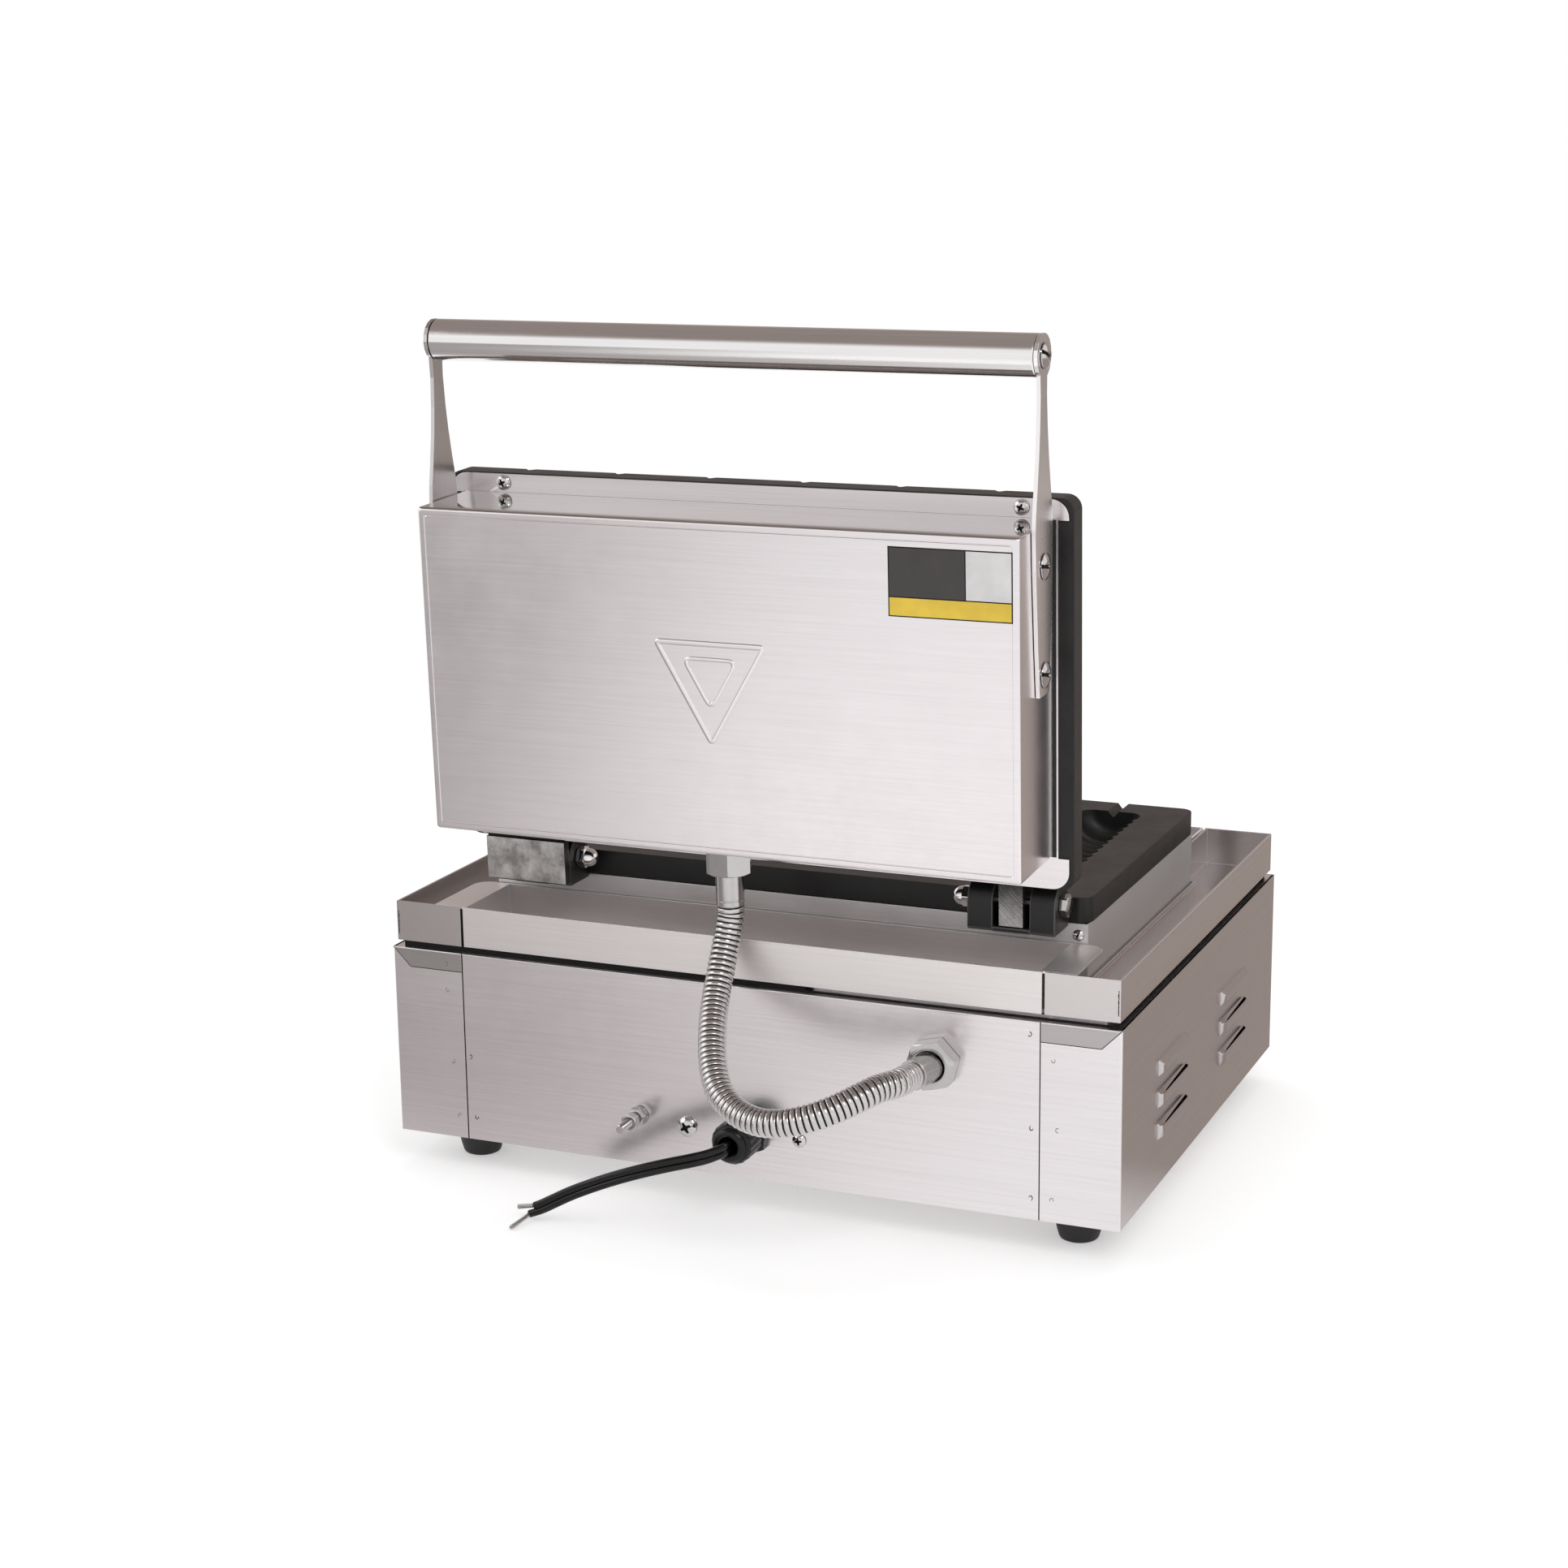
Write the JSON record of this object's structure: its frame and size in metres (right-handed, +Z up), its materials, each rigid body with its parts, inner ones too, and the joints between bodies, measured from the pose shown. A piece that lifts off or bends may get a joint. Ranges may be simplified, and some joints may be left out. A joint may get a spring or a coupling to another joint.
{
  "type": "corn dog maker",
  "caption": "Countertop corn dog cooker with moulded hot plates, a hinged lid with a bar handle, drip trays and a flexible metal conduit, shown open.",
  "frame": {"origin": "on the floor, under the middle of the whole object without its hose and cord", "axes": "+Z up, -Y towards the control panel and the cook, +Y towards the hinge, the conduit and the power cord, +X to the cook's right"},
  "size_m": [0.4168, 0.4118, 0.4625],
  "materials": {
    "stainless_satin": "satin",
    "stainless_brushed": "brushed",
    "stainless_polished": "polished",
    "cast_plate_black": "matte non-stick coating",
    "foot_rubber": "matte",
    "black_plastic": "gloss",
    "ceramic_white": "matte",
    "lens_red": "clear lens",
    "lens_green": "clear lens"
  },
  "bodies": {
    "base": {"bottom_pan": "stainless_brushed", "cable_gland_body": "black_plastic", "cable_gland_cap": "black_plastic", "conduit_hose": "stainless_polished", "conduit_nut": "stainless_polished", "conduit_sleeve": "stainless_polished", "cord_wire_long": "stainless_polished", "cord_wire_short": "stainless_polished", "earth_nut_inner": "stainless_polished", "earth_nut_outer": "stainless_polished", "earth_stud": "stainless_polished", "foot_front_left": "foot_rubber", "foot_front_right": "foot_rubber", "foot_rear_left": "foot_rubber", "foot_rear_right": "foot_rubber", "front_drip_pan": "stainless_satin", "front_panel": "stainless_satin", "heater_box_screw": "stainless_polished", "heating_lamp": "lens_red", "hinge_bolt_left": "stainless_polished", "hinge_bolt_right": "stainless_polished", "hinge_nut_left": "stainless_polished", "hinge_nut_right": "stainless_polished", "lower_heater_box": "stainless_brushed", "lower_heating_element": "stainless_brushed", "lower_mould_plate": "cast_plate_black", "power_cord": "foot_rubber", "power_lamp": "lens_green", "rear_drip_pan": "stainless_satin", "rear_panel": "stainless_satin", "rear_screw_small": "stainless_polished", "rear_screw_wide": "stainless_polished", "side_panel_left": "stainless_satin", "side_panel_right": "stainless_satin", "side_tray_left": "stainless_satin", "side_tray_right": "stainless_satin", "terminal_block": "ceramic_white", "thermostat_body": "ceramic_white", "thermostat_bulb": "stainless_polished", "timer_body": "ceramic_white", "top_deck": "stainless_satin"},
    "lid": {"lid_cover": "stainless_satin", "lid_frame": "stainless_satin", "upper_mould_plate": "cast_plate_black", "upper_heating_element": "stainless_brushed", "conduit_lid_fitting": "stainless_polished", "conduit_ferrule": "stainless_polished", "handle_tube": "stainless_polished", "handle_arm_left": "stainless_satin", "handle_arm_right": "stainless_satin", "handle_screw_left": "stainless_polished", "handle_screw_right": "stainless_polished", "arm_screw_upper_left": "stainless_polished", "arm_screw_upper_right": "stainless_polished", "arm_screw_lower_left": "stainless_polished", "arm_screw_lower_right": "stainless_polished", "frame_screw_left": "stainless_polished", "frame_screw_right": "stainless_polished"},
    "thermostat_dial": {"thermostat_knob": "black_plastic"},
    "timer_dial": {"timer_knob": "black_plastic"}
  },
  "joints": [
    {"name": "lid_hinge", "type": "hinge", "parent": "base", "child": "lid", "pos_m": [0, 0.10368, 0.1727], "axis": [1, 0, 0], "range_deg": [0, 92], "deforming": ["conduit_hose"]},
    {"name": "thermostat_turn", "type": "hinge", "parent": "base", "child": "thermostat_dial", "pos_m": [0.092, -0.15982, 0.074], "axis": [0, 1, 0], "range_deg": [0, 270]},
    {"name": "timer_turn", "type": "hinge", "parent": "base", "child": "timer_dial", "pos_m": [-0.092, -0.15982, 0.074], "axis": [0, 1, 0], "range_deg": [0, 300]}
  ]
}
